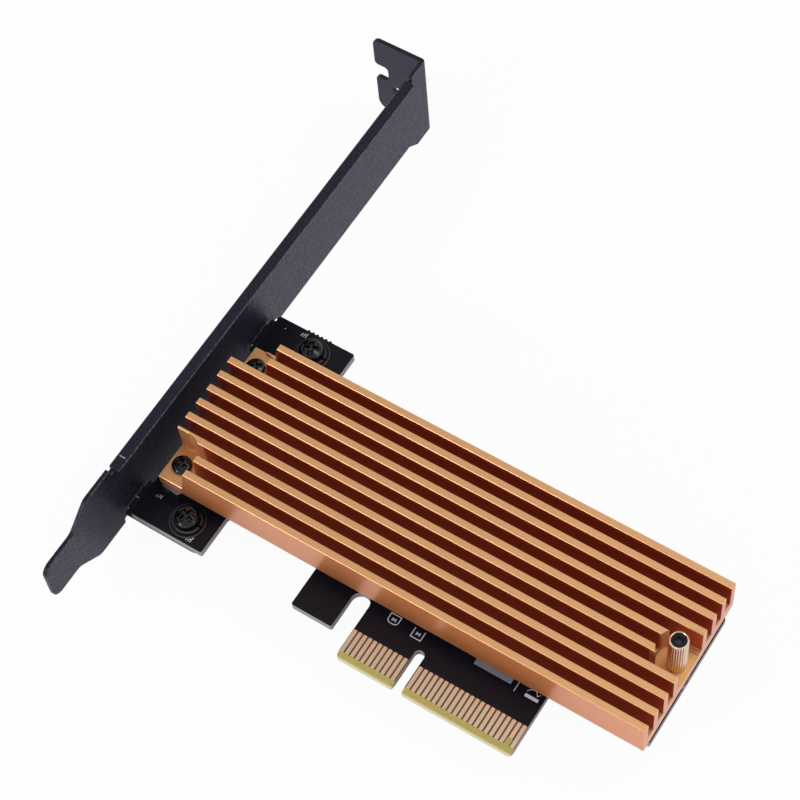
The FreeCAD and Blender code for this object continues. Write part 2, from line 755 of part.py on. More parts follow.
def make_socket_housing():
    half = socket_width / 2
    housing = box((socket_back_x, heatsink_axis_y - half, 0),
                  (socket_front_x, heatsink_axis_y + half, socket_height))
    half_slot = socket_slot_width / 2
    slot_top_z = socket_slot_lift + socket_slot_height
    slot = box((socket_front_x - socket_slot_depth, heatsink_axis_y - half_slot, socket_slot_lift),
               (socket_front_x + past, heatsink_axis_y + half_slot, slot_top_z))
    key_y = heatsink_axis_y - socket_key_offset
    key = box((socket_front_x - socket_slot_depth, key_y - socket_key_width / 2, socket_slot_lift),
              (socket_front_x, key_y + socket_key_width / 2, slot_top_z))
    step = box((socket_front_x - socket_depth / 3, heatsink_axis_y - half_slot, slot_top_z),
               (socket_front_x + past, heatsink_axis_y + half_slot, socket_height + past))
    return housing.cut(slot.cut(key)).cut(step)


def make_socket_pins(low_x, high_x, count):
    """A row of soldered contact tails on the board."""
    pins = []
    half = socket_pin_width / 2
    for index in range(count):
        y = heatsink_axis_y + (index - (count - 1) / 2) * socket_pin_pitch
        pins.append(box((low_x, y - half, 0), (high_x, y + half, socket_pin_height)))
    return Part.makeCompound(pins)


def make_socket_anchors():
    """The soldered metal hold-downs at the socket's two ends."""
    anchors = []
    middle_x = (socket_back_x + socket_front_x) / 2
    low_x = middle_x - anchor_length / 2
    high_x = middle_x + anchor_length / 2
    for side in (-1, 1):
        wall_y = heatsink_axis_y + side * socket_width / 2
        outer_y = wall_y + side * anchor_thickness
        foot_y = wall_y + side * anchor_foot
        upright = box((low_x, min(wall_y, outer_y), 0), (high_x, max(wall_y, outer_y), anchor_height))
        foot = box((low_x, min(wall_y, foot_y), 0), (high_x, max(wall_y, foot_y), anchor_thickness))
        anchors.append(upright.fuse(foot).removeSplitter())
    return Part.makeCompound(anchors)


def capacitor_places():
    """The near bracket-side corner of each capacitor."""
    near_y = strip_far_y - capacitor_edge_gap - capacitor_width
    return [(capacitor_x + index * capacitor_pitch, near_y) for index in range(capacitor_count)]


def make_capacitors():
    bodies = []
    for x, y in capacitor_places():
        bodies.append(box((x + capacitor_end, y, 0),
                          (x + capacitor_length - capacitor_end, y + capacitor_width, capacitor_height)))
    return Part.makeCompound(bodies)


def make_capacitor_ends():
    ends = []
    for x, y in capacitor_places():
        for start_x in (x, x + capacitor_length - capacitor_end):
            ends.append(box((start_x, y, 0),
                            (start_x + capacitor_end, y + capacitor_width, capacitor_height)))
    return Part.makeCompound(ends)


def build():
    all_pads = pads_before_key + pads_after_key
    pin = socket_pin_length
    return {
        "circuit_board": make_board(),
        "contact_pads_component_side": make_pads(0, pad_thickness, all_pads - 2),
        "contact_pads_solder_side": make_pads(board_bottom_z - pad_thickness, board_bottom_z, 0),
        "slot_bracket": make_bracket(),
        "bracket_washer_low": make_washer(bracket_screw_low_y),
        "bracket_washer_high": make_washer(bracket_screw_high_y),
        "bracket_lock_washer_low": make_lock_washer(bracket_screw_low_y),
        "bracket_lock_washer_high": make_lock_washer(bracket_screw_high_y),
        "bracket_screw_low": make_bracket_screw(bracket_screw_low_y),
        "bracket_screw_high": make_bracket_screw(bracket_screw_high_y),
        "heatsink": make_heatsink(),
        "heatsink_screw_near": make_heatsink_screw(heatsink_screw_near_y),
        "heatsink_screw_far": make_heatsink_screw(heatsink_screw_far_y),
        "standoff_near": make_standoff(heatsink_screw_near_y),
        "standoff_far": make_standoff(heatsink_screw_far_y),
        "thumb_nut": make_thumb_nut(),
        "clamp_screw": make_clamp_screw(),
        "drive_end_spacer": make_spacer(),
        "drive_socket": make_socket_housing(),
        "drive_socket_pins_rear": make_socket_pins(socket_back_x - pin, socket_back_x, rear_pin_count),
        "drive_socket_pins_front": make_socket_pins(socket_front_x, socket_front_x + pin, front_pin_count),
        "drive_socket_anchors": make_socket_anchors(),
        "supply_capacitors": make_capacitors(),
        "supply_capacitor_ends": make_capacitor_ends(),
    }


os.makedirs("parts", exist_ok=True)
for name, shape in build().items():
    if not shape.isValid():
        raise ValueError("not a valid solid: " + name)
    shape.exportStep("parts/" + name + ".step")
    print(f"{name}: {len(shape.Solids)} solids, {shape.Volume:.1f} cubic mm")
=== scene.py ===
"""Finishes, detail pieces, stage and camera for the stick-drive adapter card.

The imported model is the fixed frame: its nodes keep their shape and get their finishes here, and the
pieces that the solids leave plain are worked out here as surfaces on grids. Lengths are metres.
"""
import math

import bmesh
import bpy
import numpy as np
from mathutils import Matrix, Vector


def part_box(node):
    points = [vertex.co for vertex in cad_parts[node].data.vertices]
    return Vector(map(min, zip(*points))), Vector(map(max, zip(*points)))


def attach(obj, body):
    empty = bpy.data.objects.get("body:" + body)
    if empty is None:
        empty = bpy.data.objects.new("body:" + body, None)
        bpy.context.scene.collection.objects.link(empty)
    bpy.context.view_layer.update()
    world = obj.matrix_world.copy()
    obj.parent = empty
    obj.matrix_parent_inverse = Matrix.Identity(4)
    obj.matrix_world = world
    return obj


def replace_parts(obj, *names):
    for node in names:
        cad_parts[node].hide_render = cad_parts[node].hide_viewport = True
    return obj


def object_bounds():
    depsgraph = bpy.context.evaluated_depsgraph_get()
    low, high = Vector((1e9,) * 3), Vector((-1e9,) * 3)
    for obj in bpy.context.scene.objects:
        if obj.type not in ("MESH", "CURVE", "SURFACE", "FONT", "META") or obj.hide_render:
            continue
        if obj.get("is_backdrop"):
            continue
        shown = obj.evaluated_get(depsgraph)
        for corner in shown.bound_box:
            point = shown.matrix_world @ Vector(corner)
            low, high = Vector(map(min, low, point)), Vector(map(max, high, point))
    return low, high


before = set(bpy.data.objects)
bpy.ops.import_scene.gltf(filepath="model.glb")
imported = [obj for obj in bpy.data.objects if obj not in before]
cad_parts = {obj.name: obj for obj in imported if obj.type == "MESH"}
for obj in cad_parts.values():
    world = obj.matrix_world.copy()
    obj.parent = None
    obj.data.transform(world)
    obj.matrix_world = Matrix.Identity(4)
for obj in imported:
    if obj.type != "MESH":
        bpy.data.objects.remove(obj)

bl_info = {
    "name": "Drive adapter card",
    "version": (1, 0, 0),
    "blender": (4, 5, 0),
    "location": "View3D > Sidebar > Adapter card",
    "description": "Dresses the drive adapter card and sets it on its stage",
    "category": "Object",
}

MM = 0.001
BODY = "root"
MERGE_DISTANCE = 1e-7


# --- settings that a user would change ---

def colour(name, description, default):
    """A colour setting, in linear light."""
    return bpy.props.FloatVectorProperty(
        name=name, description=description, default=default, size=3, min=0, max=1, subtype="COLOR")


def length(name, description, millimetres):
    """A length setting, given in millimetres and held in metres."""
    return bpy.props.FloatProperty(
        name=name, description=description, default=millimetres * MM, unit="LENGTH")


def share(name, description, default):
    """A setting from 0 to 1."""
    return bpy.props.FloatProperty(
        name=name, description=description, default=default, min=0, max=1, subtype="FACTOR")


class CameraSettings(bpy.types.PropertyGroup):
    azimuth: bpy.props.FloatProperty(
        name="Azimuth", description="Turn about the upright axis",
        default=math.radians(38.627), subtype="ANGLE")
    elevation: bpy.props.FloatProperty(
        name="Elevation", description="Height above the board",
        default=math.radians(60.181), subtype="ANGLE")
    roll: bpy.props.FloatProperty(
        name="Roll", description="Turn about the line of sight",
        default=math.radians(-7.076), subtype="ANGLE")
    distance: length("Distance", "From the target to the camera", 399.97)
    target: bpy.props.FloatVectorProperty(
        name="Target", description="Point in the middle of the view",
        default=(-27.83 * MM, 45.46 * MM, 3.0 * MM), size=3, unit="LENGTH")
    focal_length: bpy.props.FloatProperty(
        name="Focal length", description="Lens on a 36 mm sensor, in millimetres", default=102.84)


class StageSettings(bpy.types.PropertyGroup):
    floor: colour("Floor", "Pale floor", (0.86, 0.86, 0.87))
    floor_glow: share("Floor glow", "How much of what the camera sees of the floor is its own light", 0.95)
    sky: colour("Sky", "Soft light from all round", (1.0, 1.0, 1.0))
    sky_strength: bpy.props.FloatProperty(
        name="Sky strength", description="Strength of the light from all round", default=0.6)
    key_power: bpy.props.FloatProperty(
        name="Key power", description="Overhead soft lamp", default=0.95, unit="POWER")
    side_power: bpy.props.FloatProperty(
        name="Side power", description="Lamp beyond the free end", default=1.1, unit="POWER")
    front_power: bpy.props.FloatProperty(
        name="Front power", description="Low lamp before the contact edge", default=1.9, unit="POWER")
    side_tint: colour("Side tint", "Colour of the lamp beyond the free end", (0.93, 0.90, 1.0))
    mirrored_floor: colour("Mirrored floor", "The floor as the card's own faces mirror it", (0.94, 0.90, 1.0))
    under_shade: share("Under shade", "How much the card darkens the floor that its own faces mirror", 0.92)


class BoardSettings(bpy.types.PropertyGroup):
    mask: colour("Solder mask", "Black lacquer on the board's faces", (0.0056, 0.0049, 0.0090))
    laminate: colour("Laminate", "Cut edges of the board", (0.42, 0.41, 0.41))
    bare: colour("Bare tongue", "Unlacquered laminate between the contact pads", (0.17, 0.085, 0.035))
    bevel_tip: colour("Bevel tip", "The ground edge's lowest line", (0.78, 0.72, 0.50))
    bevel: colour("Bevel", "Ground edge below the contact pads", (0.46, 0.38, 0.115))
    pad: colour("Pads", "Gold flash on the contact pads", (0.85, 0.65, 0.47))
    print_white: colour("White print", "Printed marks", (0.85, 0.85, 0.85))
    print_grey: colour("Grey print", "Printed bar under the heatsink's edge", (0.31, 0.29, 0.36))
    print_height: length("Print height", "Thickness of the printed marks", 0.02)
    line_width: length("Line width", "Width of the printed lines", 0.16)


class BracketSettings(bpy.types.PropertyGroup):
    coat: colour("Powder coat", "Black textured coat", (0.0052, 0.0047, 0.0100))
    gloss_tint: colour("Gloss tint", "Colour of what the coat mirrors", (0.82, 0.78, 1.0))
    sheen_tint: colour("Sheen tint", "Colour of the coat's soft sheen", (0.80, 0.74, 1.0))
    # This colour paints a highlight along the coat's outer folds, and a short pale line across the flange.
    fold_highlight_and_line: colour("Scratch", "Bare metal where the coat is rubbed", (0.30, 0.29, 0.28))


class HeatsinkSettings(bpy.types.PropertyGroup):
    anodised: colour("Gold anodising", "Fin tops and outer faces", (0.76, 0.41, 0.185))
    # Painted reflection: the outer sides get a deeper orange copy of the gold, for the colour these faces
    # show from what they mirror.
    side: colour("Outer sides", "Anodising on the long outer faces", (0.91, 0.33, 0.110))
    # Painted reflection: the end faces get a pinker copy of the gold, for the light they mirror.
    end_reflection: colour("Cut ends", "Anodising on the sawn end faces", (0.74, 0.36, 0.20))
    # Painted shade: the channel walls get a dark red, for the shade and the reddened light deep between the
    # fins.
    channel: colour("Channel walls", "Anodising between the fins", (0.50, 0.052, 0.010))
    milled: colour("Milled floors", "Floors of the milled pockets", (0.82, 0.44, 0.18))
    # Painted light: the floor round the thumb nut is brighter than the other milled floors, for the light it
    # catches.
    lit_nut_floor: colour("Nut pocket floor", "Floor round the thumb nut", (0.96, 0.60, 0.24))
    milled_wall: colour("Milled walls", "Walls of the milled pockets", (0.72, 0.31, 0.13))
    edge_break: length("Edge break", "Chamfer along the fins' edges", 0.085)


class FastenerSettings(bpy.types.PropertyGroup):
    black: colour("Black steel", "Oxide on the screws", (0.004, 0.004, 0.006))
    dark: colour("Dark steel", "Washers", (0.005, 0.005, 0.006))
    # The rim colour paints a highlight along the washers' outer edges.
    painted_highlight: colour("Rubbed steel", "Washers' outer rims", (0.075, 0.075, 0.085))
    # This tint makes the middle of the clamp screw's head paler and bluish.
    pale_middle: colour("Polished steel", "Middle of the clamp screw", (0.075, 0.070, 0.11))
    bright: colour("Bright plate", "Standoffs and spacer", (0.22, 0.21, 0.25))
    nut: colour("Thumb nut", "Pale gold ribs", (0.82, 0.62, 0.42))


class SocketSettings(bpy.types.PropertyGroup):
    plastic: colour("Socket", "Moulded housing", (0.012, 0.012, 0.013))
    tin: colour("Tin", "Contact tails and ends", (0.55, 0.55, 0.56))
    ceramic: colour("Capacitor", "Ceramic body", (0.30, 0.19, 0.11))


SETTINGS = {
    "card_camera": CameraSettings,
    "card_stage": StageSettings,
    "card_board": BoardSettings,
    "card_bracket": BracketSettings,
    "card_heatsink": HeatsinkSettings,
    "card_fasteners": FastenerSettings,
    "card_socket": SocketSettings,
}


# --- meshes worked out on grids ---

def linked(name, data):
    """A new object that holds the data, in the scene."""
    made = bpy.data.objects.new(name, data)
    bpy.context.scene.collection.objects.link(made)
    return made


def grid_mesh(name, points, wrap_rows=False, wrap_columns=False, smooth=True):
    """A mesh object through an array of points, rows by columns by 3.

    Each quad joins (i, j), (i, j+1), (i+1, j+1) and (i+1, j), so the outside is where the column
    direction crossed with the row direction points. Wrapped directions join last to first.
    """
    rows, columns = points.shape[:2]
    i = np.arange(rows if wrap_rows else rows - 1)[:, None]
    j = np.arange(columns if wrap_columns else columns - 1)[None, :]
    after_i = (i + 1) % rows
    after_j = (j + 1) % columns
    quads = np.stack([
        i * columns + j,
        i * columns + after_j,
        after_i * columns + after_j,
        after_i * columns + j,
    ], axis=-1).reshape(-1, 4)
    return finished_mesh(name, points.reshape(-1, 3), quads, smooth)


def finished_mesh(name, vertices, faces, smooth):
    """A linked mesh object whose coincident points are merged and whose sliver faces are dropped."""
    mesh = bpy.data.meshes.new(name)
    mesh.from_pydata(vertices.tolist(), [], faces.tolist())
    work = bmesh.new()
    work.from_mesh(mesh)
    bmesh.ops.remove_doubles(work, verts=work.verts, dist=MERGE_DISTANCE)
    bmesh.ops.dissolve_degenerate(work, edges=work.edges, dist=MERGE_DISTANCE)
    bmesh.ops.recalc_face_normals(work, faces=work.faces)
    work.to_mesh(mesh)
    work.free()
    mesh.polygons.foreach_set("use_smooth", np.full(len(mesh.polygons), smooth))
    return linked(name, mesh)


def joined(name, pieces):
    """One object made of several, which are then gone."""
    work = bmesh.new()
    for piece in pieces:
        mesh = piece.data
        work.from_mesh(mesh)
        bpy.data.objects.remove(piece)
        bpy.data.meshes.remove(mesh)
    whole = bpy.data.meshes.new(name)
    work.to_mesh(whole)
    work.free()
    return linked(name, whole)


def dress(piece, material):
    """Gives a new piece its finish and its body."""
    piece.data.materials.clear()
    piece.data.materials.append(material)
    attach(piece, BODY)
    return piece


def paint_nodes(material, *names):
    """Puts a material on CAD nodes."""
    for name in names:
        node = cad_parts[name]
        node.data.materials.clear()
        node.data.materials.append(material)


def break_edges(node_name, width, segments=2):
    """Breaks a CAD node's sharp edges by modifiers: its triangles are welded, flattened and beveled.

    Two segments round an edge, and one gives it a flat chamfer.
    """
    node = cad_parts[node_name]
    weld = node.modifiers.new("weld", "WELD")
    weld.merge_threshold = 1e-6
    flatten = node.modifiers.new("flatten", "DECIMATE")
    flatten.decimate_type = "DISSOLVE"
    flatten.angle_limit = math.radians(0.5)
    bevel = node.modifiers.new("edge_break", "BEVEL")
    bevel.width = width
    bevel.segments = segments
    bevel.limit_method = "ANGLE"
    bevel.angle_limit = math.radians(40)
    bevel.harden_normals = False
    bevel.use_clamp_overlap = False


# --- camera and stage ---

def view_axes(settings):
    """The camera's right, up and back axes, from its azimuth, elevation and roll."""
    azimuth, elevation = settings.azimuth, settings.elevation
    back = Vector((math.sin(azimuth) * math.cos(elevation),
                   -math.cos(azimuth) * math.cos(elevation),
                   math.sin(elevation)))
    level = Vector((math.cos(azimuth), math.sin(azimuth), 0))
    above = back.cross(level)
    right = level * math.cos(settings.roll) + above * math.sin(settings.roll)
    return right, back.cross(right), back


def area_lamp(name, place, target, size, power, tint):
    """A rectangular soft lamp that faces a point."""
    lamp = bpy.data.lights.new(name, "AREA")
    lamp.shape = "RECTANGLE"
    lamp.size, lamp.size_y = size
    lamp.energy = power
    lamp.color = tint
    aim = (place - target).to_track_quat("Z", "Y")
    linked(name, lamp).matrix_world = Matrix.Translation(place) @ aim.to_matrix().to_4x4()


# --- shader helpers ---

class Shader:
    """A material's or a group's node tree, with short ways to add nodes and links."""

    def __init__(self, tree):
        self.tree = tree

    def node(self, kind, inputs=None, **settings):
        """A new node with its settings, and with its inputs linked or set."""
        made = self.tree.nodes.new(kind)
        for key, value in settings.items():
            setattr(made, key, value)
        self.fill(made, inputs or {})
        return made

    def first(self, kind):
        """The tree's first node of a kind."""
        return next(node for node in self.tree.nodes if node.type == kind)

    def fill(self, node, inputs):
        """Links or sets several inputs of a node."""
        for key, value in inputs.items():
            self.put(value, node.inputs[key])

    def put(self, value, socket):
        """Links a socket, or sets a plain value; a colour of three numbers gets a full alpha."""
        if isinstance(value, bpy.types.NodeSocket):
            self.tree.links.new(value, socket)
        elif not isinstance(value, (int, float)) and len(value) == 3 and len(socket.default_value) == 4:
            socket.default_value = (*value, 1)
        else:
            socket.default_value = value

    def math(self, operation, first, second=0.0, clamp=False):
        """A sum or other operation on one or two numbers."""
        made = self.node("ShaderNodeMath", {0: first, 1: second}, operation=operation, use_clamp=clamp)
        return made.outputs[0]

    def product(self, whole, *factors):
        """Numbers multiplied together."""
        for factor in factors:
            whole = self.math("MULTIPLY", whole, factor)
        return whole

    def between(self, factor, first, second):
        """A number from first to second, by a factor from 0 to 1."""
        return self.math("ADD", first, self.math("MULTIPLY", factor, second - first))

    def away(self, value, middle):
        """How far a value is from a middle, either way."""
        return self.math("ABSOLUTE", self.math("SUBTRACT", value, middle))

    def mix(self, factor, first, second):
        """A colour from first to second, by a factor from 0 to 1."""
        return self.node("ShaderNodeMix", {0: factor, 6: first, 7: second}, data_type="RGBA").outputs[2]

    def rise(self, value, low, high, low_result=0.0, high_result=1.0):
        """A smooth step of a value: from low_result at low to high_result at high."""
        inputs = dict(enumerate((value, low, high, low_result, high_result)))
        return self.node("ShaderNodeMapRange", inputs, interpolation_type="SMOOTHSTEP").outputs[0]

    def fall(self, value, low, high):
        """A smooth step of a value: from 1 at low to 0 at high."""
        return self.rise(value, low, high, 1.0, 0.0)

    def group(self, name, inputs=None):
        """The outputs of a shared node group."""
        return self.node("ShaderNodeGroup", inputs, node_tree=bpy.data.node_groups[name]).outputs

    def place(self):
        """Where a point is and which way its face looks, as the outputs of place_group."""
        return self.group("place_and_facing")

    def grain(self, spacing, stretch=(1, 1, 1), detail=3.0, contrast=1.0):
        """Fine noise from 0 to 1, its spacing in millimetres."""
        inputs = {"Spacing": spacing, "Stretch": stretch, "Detail": detail, "Contrast": contrast}
        return self.group("grain", inputs)["Mask"]

    def relief(self, spacing, depth, stretch=(1, 1, 1)):
        """The normal of a grained surface, its spacing and depth in millimetres."""
        return self.group("relief", {"Spacing": spacing, "Stretch": stretch, "Depth": depth})["Normal"]


def new_material(name):
    """An empty material with its Shader and its Principled node."""
    material = bpy.data.materials.new(name)
    material.use_nodes = True
    shader = Shader(material.node_tree)
    return material, shader, shader.first("BSDF_PRINCIPLED")


NUMBER = "NodeSocketFloat"
VECTOR = "NodeSocketVector"
SPACING = ("Spacing", NUMBER, 0.3)
STRETCH = ("Stretch", VECTOR, (1, 1, 1))


def new_group(name, inputs, outputs):
    """A node group with named sockets: (name, socket kind, default) in, (name, socket kind) out."""
    tree = bpy.data.node_groups.new(name, "ShaderNodeTree")
    for label, kind, default in inputs:
        socket = tree.interface.new_socket(label, in_out="INPUT", socket_type=kind)
        socket.default_value = default
    for label, kind in outputs:
        tree.interface.new_socket(label, in_out="OUTPUT", socket_type=kind)
    shader = Shader(tree)
    return shader, shader.node("NodeGroupInput").outputs, shader.node("NodeGroupOutput").inputs


def place_group():
    """Where a point is, in millimetres along X, Y and Z, and which way its face looks."""
    place_labels = ("X", "Y", "Z")
    facing_labels = ("Along X", "Along Y", "Up")
    outputs = [(label, NUMBER) for label in place_labels + facing_labels]
    shader, _, result = new_group("place_and_facing", [], outputs)
    coordinates = shader.node("ShaderNodeTexCoord").outputs
    place = shader.node("ShaderNodeSeparateXYZ", {0: coordinates["Object"]}).outputs
    facing = shader.node("ShaderNodeSeparateXYZ", {0: coordinates["Normal"]}).outputs
    for axis in range(3):
        shader.put(shader.math("DIVIDE", place[axis], MM), result[place_labels[axis]])
        shader.put(facing[axis], result[facing_labels[axis]])


def grain_group():
    """Fine noise at a spacing in millimetres, stretched along X, Y or Z, from 0 to 1."""
    inputs = [SPACING, STRETCH, ("Detail", NUMBER, 3.0), ("Contrast", NUMBER, 1.0)]
    shader, given, result = new_group("grain", inputs, [("Mask", NUMBER)])
    coordinates = shader.node("ShaderNodeTexCoord").outputs
    factors = {0: coordinates["Object"], 1: given["Stretch"]}
    noise = shader.node("ShaderNodeTexNoise", {
        "Vector": shader.node("ShaderNodeVectorMath", factors, operation="MULTIPLY").outputs[0],
        "Scale": shader.math("DIVIDE", 1 / MM, given["Spacing"]),
        "Detail": given["Detail"],
        "Roughness": 0.6,
    })
    centred = shader.math("SUBTRACT", noise.outputs["Fac"], 0.5)
    widened = shader.product(centred, given["Contrast"])
    shader.put(shader.math("ADD", widened, 0.5, clamp=True), result["Mask"])


def relief_group():
    """A grain pressed into the surface: noise to a bumped normal."""
    inputs = [SPACING, STRETCH, ("Depth", NUMBER, 0.02)]
    shader, given, result = new_group("relief", inputs, [("Normal", VECTOR)])
    grain = shader.grain(given["Spacing"], given["Stretch"])
    height = shader.product(grain, given["Depth"], MM)
    bump = shader.node("ShaderNodeBump", {"Height": height, "Distance": 1.0, "Strength": 1.0})
    shader.put(bump.outputs["Normal"], result["Normal"])


def shared_groups():
    """Builds the node groups that the finishes share."""
    for make in (place_group, grain_group, relief_group):
        make()


# --- finishes ---

def scaled(tint, factor):
    """A colour made darker or brighter by a factor."""
    return tuple(factor * part for part in tint)


def box_in_mm(node):
    """A node's low and high corners, in millimetres."""
    low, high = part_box(node)
    return low / MM, high / MM


def node_middle(node):
    """The middle of a node's box, in millimetres."""
    low, high = box_in_mm(node)
    return (low + high) / 2


def within_box(shader, place, low, high, soft):
    """A mask over a box in X and Y that fades out over the soft distance round it."""
    mask = 1.0
    for axis, start, end in zip(("X", "Y"), low, high):
        into = shader.rise(place[axis], start - soft, start)
        out = shader.fall(place[axis], end, end + soft)
        mask = shader.product(mask, into, out)
    return mask


def distance_from(shader, place, x, y):
    """How far a point is from an upright line, in millimetres."""
    along = shader.math("POWER", shader.away(place["X"], x), 2.0)
    across = shader.math("POWER", shader.away(place["Y"], y), 2.0)
    return shader.math("SQRT", shader.math("ADD", along, across))


def board_finish(settings):
    """Black lacquer on the faces, laminate on the cut edges and bare between the contact pads."""
    material, shader, surface = new_material("board_lacquer")
    place = shader.place()
    upness = shader.math("ABSOLUTE", place["Up"])
    on_face = shader.rise(upness, 0.95, 0.99)
    specks = shader.grain(0.8, detail=4.0, contrast=2.2)
    lacquer = shader.mix(specks, settings.mask, scaled(settings.mask, 1.7))
    bared = shader.mix(short_pad_mask(shader, place), settings.bare, settings.bevel)
    faces = shader.mix(bare_mask(shader, place), lacquer, bared)
    edges = edge_colour(shader, place, upness, settings)
    shader.fill(surface, {
        "Base Color": shader.mix(on_face, edges, faces),
        "Roughness": shader.between(on_face, 0.75, 0.36),
        "Specular IOR Level": 0.15,
        "Normal": shader.relief(0.9, 0.010),
    })
    return material


def edge_colour(shader, place, upness, settings):
    """Layered laminate on the cut edges, and fibres on the ground bevel, pale towards its tip."""
    layers = shader.grain(0.5, stretch=(0.3, 0.3, 6.0), detail=2.0, contrast=1.6)
    layered = shader.mix(layers, scaled(settings.laminate, 0.7), settings.laminate)
    cut = shader.mix(shader.fall(place["Y"], 0.3, 0.6), layered, settings.bevel_tip)
    fibres = shader.grain(0.35, contrast=1.5)
    fibred = shader.mix(fibres, scaled(settings.bevel, 0.8), scaled(settings.bevel, 1.15))
    ground = shader.mix(shader.fall(place["Y"], 0.0, 0.5), fibred, settings.bevel_tip)
    on_bevel = shader.rise(upness, 0.3, 0.6)
    return shader.mix(on_bevel, cut, ground)


def bare_mask(shader, place):
    """The tongue without lacquer: between and beside the contact pads, up to their far ends."""
    low, high = box_in_mm("contact_pads_component_side")
    margin = 0.6
    soft = 0.1
    up_to_ends = shader.fall(place["Y"], high.y - 0.02, high.y + 0.06)
    after_start = shader.rise(place["X"], low.x - margin - soft, low.x - margin)
    before_end = shader.fall(place["X"], high.x + margin, high.x + margin + soft)
    return shader.product(up_to_ends, after_start, before_end)


def short_pad_mask(shader, place):
    """The patch of ground laminate below the contact pad that starts late."""
    inset = 1.33                    # from the last pad's outer side to the late pad's middle
    half_width = 0.5
    pad_start = 2.6
    middle = box_in_mm("contact_pads_component_side")[1].x - inset
    within = shader.fall(shader.away(place["X"], middle), half_width - 0.02, half_width + 0.02)
    return shader.product(within, shader.fall(place["Y"], pad_start - 0.1, pad_start + 0.1))


def metal_finish(name, tint, roughness, metallic=1.0, spacing=0.25, stretch=(1, 1, 1), depth=0.006,
                 variation=0.15, specular=0.5, paler_mask=None, brightened=None):
    """A metal, or a plain dark or moulded surface, whose tint and gloss vary with a fine grain.

    The mask function, given the shader and the place, gives where the paler tint in the last argument shows;
    the callers use it to paint a highlight on the washers' rims and a paler, bluish middle on the clamp
    screw.
    """
    material, shader, surface = new_material(name)
    grain = shader.grain(spacing, stretch, contrast=1.6)
    tone = shader.mix(grain, scaled(tint, 1 - variation), tint)
    if paler_mask:
        tone = shader.mix(paler_mask(shader, shader.place()), tone, brightened)
    shader.fill(surface, {
        "Base Color": tone,
        "Roughness": shader.between(grain, roughness - 0.05, roughness + 0.05),
        "Metallic": metallic,
        "Specular IOR Level": specular,
        "Normal": shader.relief(spacing, depth, stretch),
    })
    return material


def coat_finish(settings):
    """Black powder coat: a fine orange-peel texture with paler specks, a painted highlight along its outer
    folds and a short pale line across its flange.
    """
    material, shader, surface = new_material("powder_coat")
    place = shader.place()
    specks = shader.grain(0.45, detail=2.0, contrast=3.0)
    clouds = shader.grain(6.0, contrast=1.2)
    speckled = shader.mix(specks, scaled(settings.coat, 0.5), scaled(settings.coat, 3.2))
    clouded = shader.mix(shader.product(clouds, 0.3), speckled, settings.coat)
    # Painted highlight: faces turning from the inner face to the flange's top are made paler, for the light
    # the folds catch.
    fold = shader.rise(shader.product(place["Along X"], place["Up"]), 0.2, 0.4)
    painted_highlight = shader.product(fold, shader.rise(specks, 0.2, 0.9, 0.12, 0.5))
    brightened = shader.math("MAXIMUM", painted_highlight, pale_line_mask(shader, place))
    shader.fill(surface, {
        "Base Color": shader.mix(brightened, clouded, settings.fold_highlight_and_line),
        "Roughness": shader.between(specks, 0.3, 0.52),
        "Specular IOR Level": 0.3,
        "Specular Tint": settings.gloss_tint,
        "Sheen Weight": 0.07,
        "Sheen Roughness": 0.4,
        "Sheen Tint": settings.sheen_tint,
        "Normal": shader.relief(0.5, 0.08),
    })
    return material


def pale_line_mask(shader, place):
    """A short pale line across the top of the bracket's flange, near its low end."""
    line_y, half_width = 7.8, 0.12
    start_x, end_x = -59.45, -58.25
    thin = shader.fall(shader.away(place["Y"], line_y), half_width - 0.04, half_width + 0.04)
    start = shader.rise(place["X"], start_x - 0.15, start_x + 0.15)
    end = shader.fall(place["X"], end_x - 0.15, end_x + 0.15)
    on_top = shader.rise(place["Up"], 0.85, 0.95)
    return shader.product(on_top, thin, start, end)


def heatsink_finish(settings):
    """Gold anodising with drawn lines along the fins; painted reflection colours on the outer sides and the
    end faces, and painted shade on the channel walls between the fins.
    """
    material, shader, surface = new_material("gold_anodising")
    place = shader.place()
    low, high = box_in_mm("heatsink")
    on_wall = shader.rise(shader.math("ABSOLUTE", place["Along Y"]), 0.8, 0.95)
    on_end = shader.rise(place["Along X"], 0.8, 0.95)
    inside = shader.product(shader.rise(place["Y"], low.y + 0.4, low.y + 0.6),
                            shader.fall(place["Y"], high.y - 0.6, high.y - 0.4))
    outside = shader.product(on_wall, shader.math("SUBTRACT", 1.0, inside))
    drawn = shader.grain(0.22, stretch=(0.02, 1, 1), contrast=1.5)
    pores = shader.grain(0.2, detail=2.0, contrast=2.0)
    gold = shader.mix(drawn, scaled(settings.anodised, 0.9), settings.anodised)
    gold = shader.mix(shader.product(pores, 0.6), gold, scaled(settings.anodised, 1.2))
    # Painted reflection on the outer sides and ends, and painted shade on the channel walls.
    walls = shader.mix(inside, settings.side, settings.channel)
    extruded = shader.mix(on_end, shader.mix(on_wall, gold, walls), settings.end_reflection)
    pocket = pocket_mask(shader, place)
    rough = shader.between(drawn, 0.4, 0.5)
    shader.fill(surface, {
        "Base Color": shader.mix(pocket, extruded, milled_colour(shader, place, settings)),
        "Roughness": shader.math("ADD", rough, shader.product(pocket, 0.2)),
        "Metallic": 0.8,
        "Coat Weight": shader.between(outside, 0.35, 1.0),
        "Coat Roughness": 0.2,
        "Normal": shader.relief(0.2, 0.006, stretch=(0.03, 1, 1)),
    })
    return material


def milled_colour(shader, place, settings):
    """The pockets' walls, their floors with cutter marks, and a painted light that brightens the floor at the
    free end.
    """
    marks = shader.product(swirl_marks(shader, place), 0.3)
    floors = shader.mix(marks, settings.milled, scaled(settings.milled, 0.5))
    # Painted light: the nut pocket's floor at the free end is made brighter.
    free_end = shader.rise(place["X"], 0.0, 1.0)
    floors = shader.mix(free_end, floors, settings.lit_nut_floor)
    on_floor = shader.rise(place["Up"], 0.8, 0.95)
    return shader.mix(on_floor, settings.milled_wall, floors)


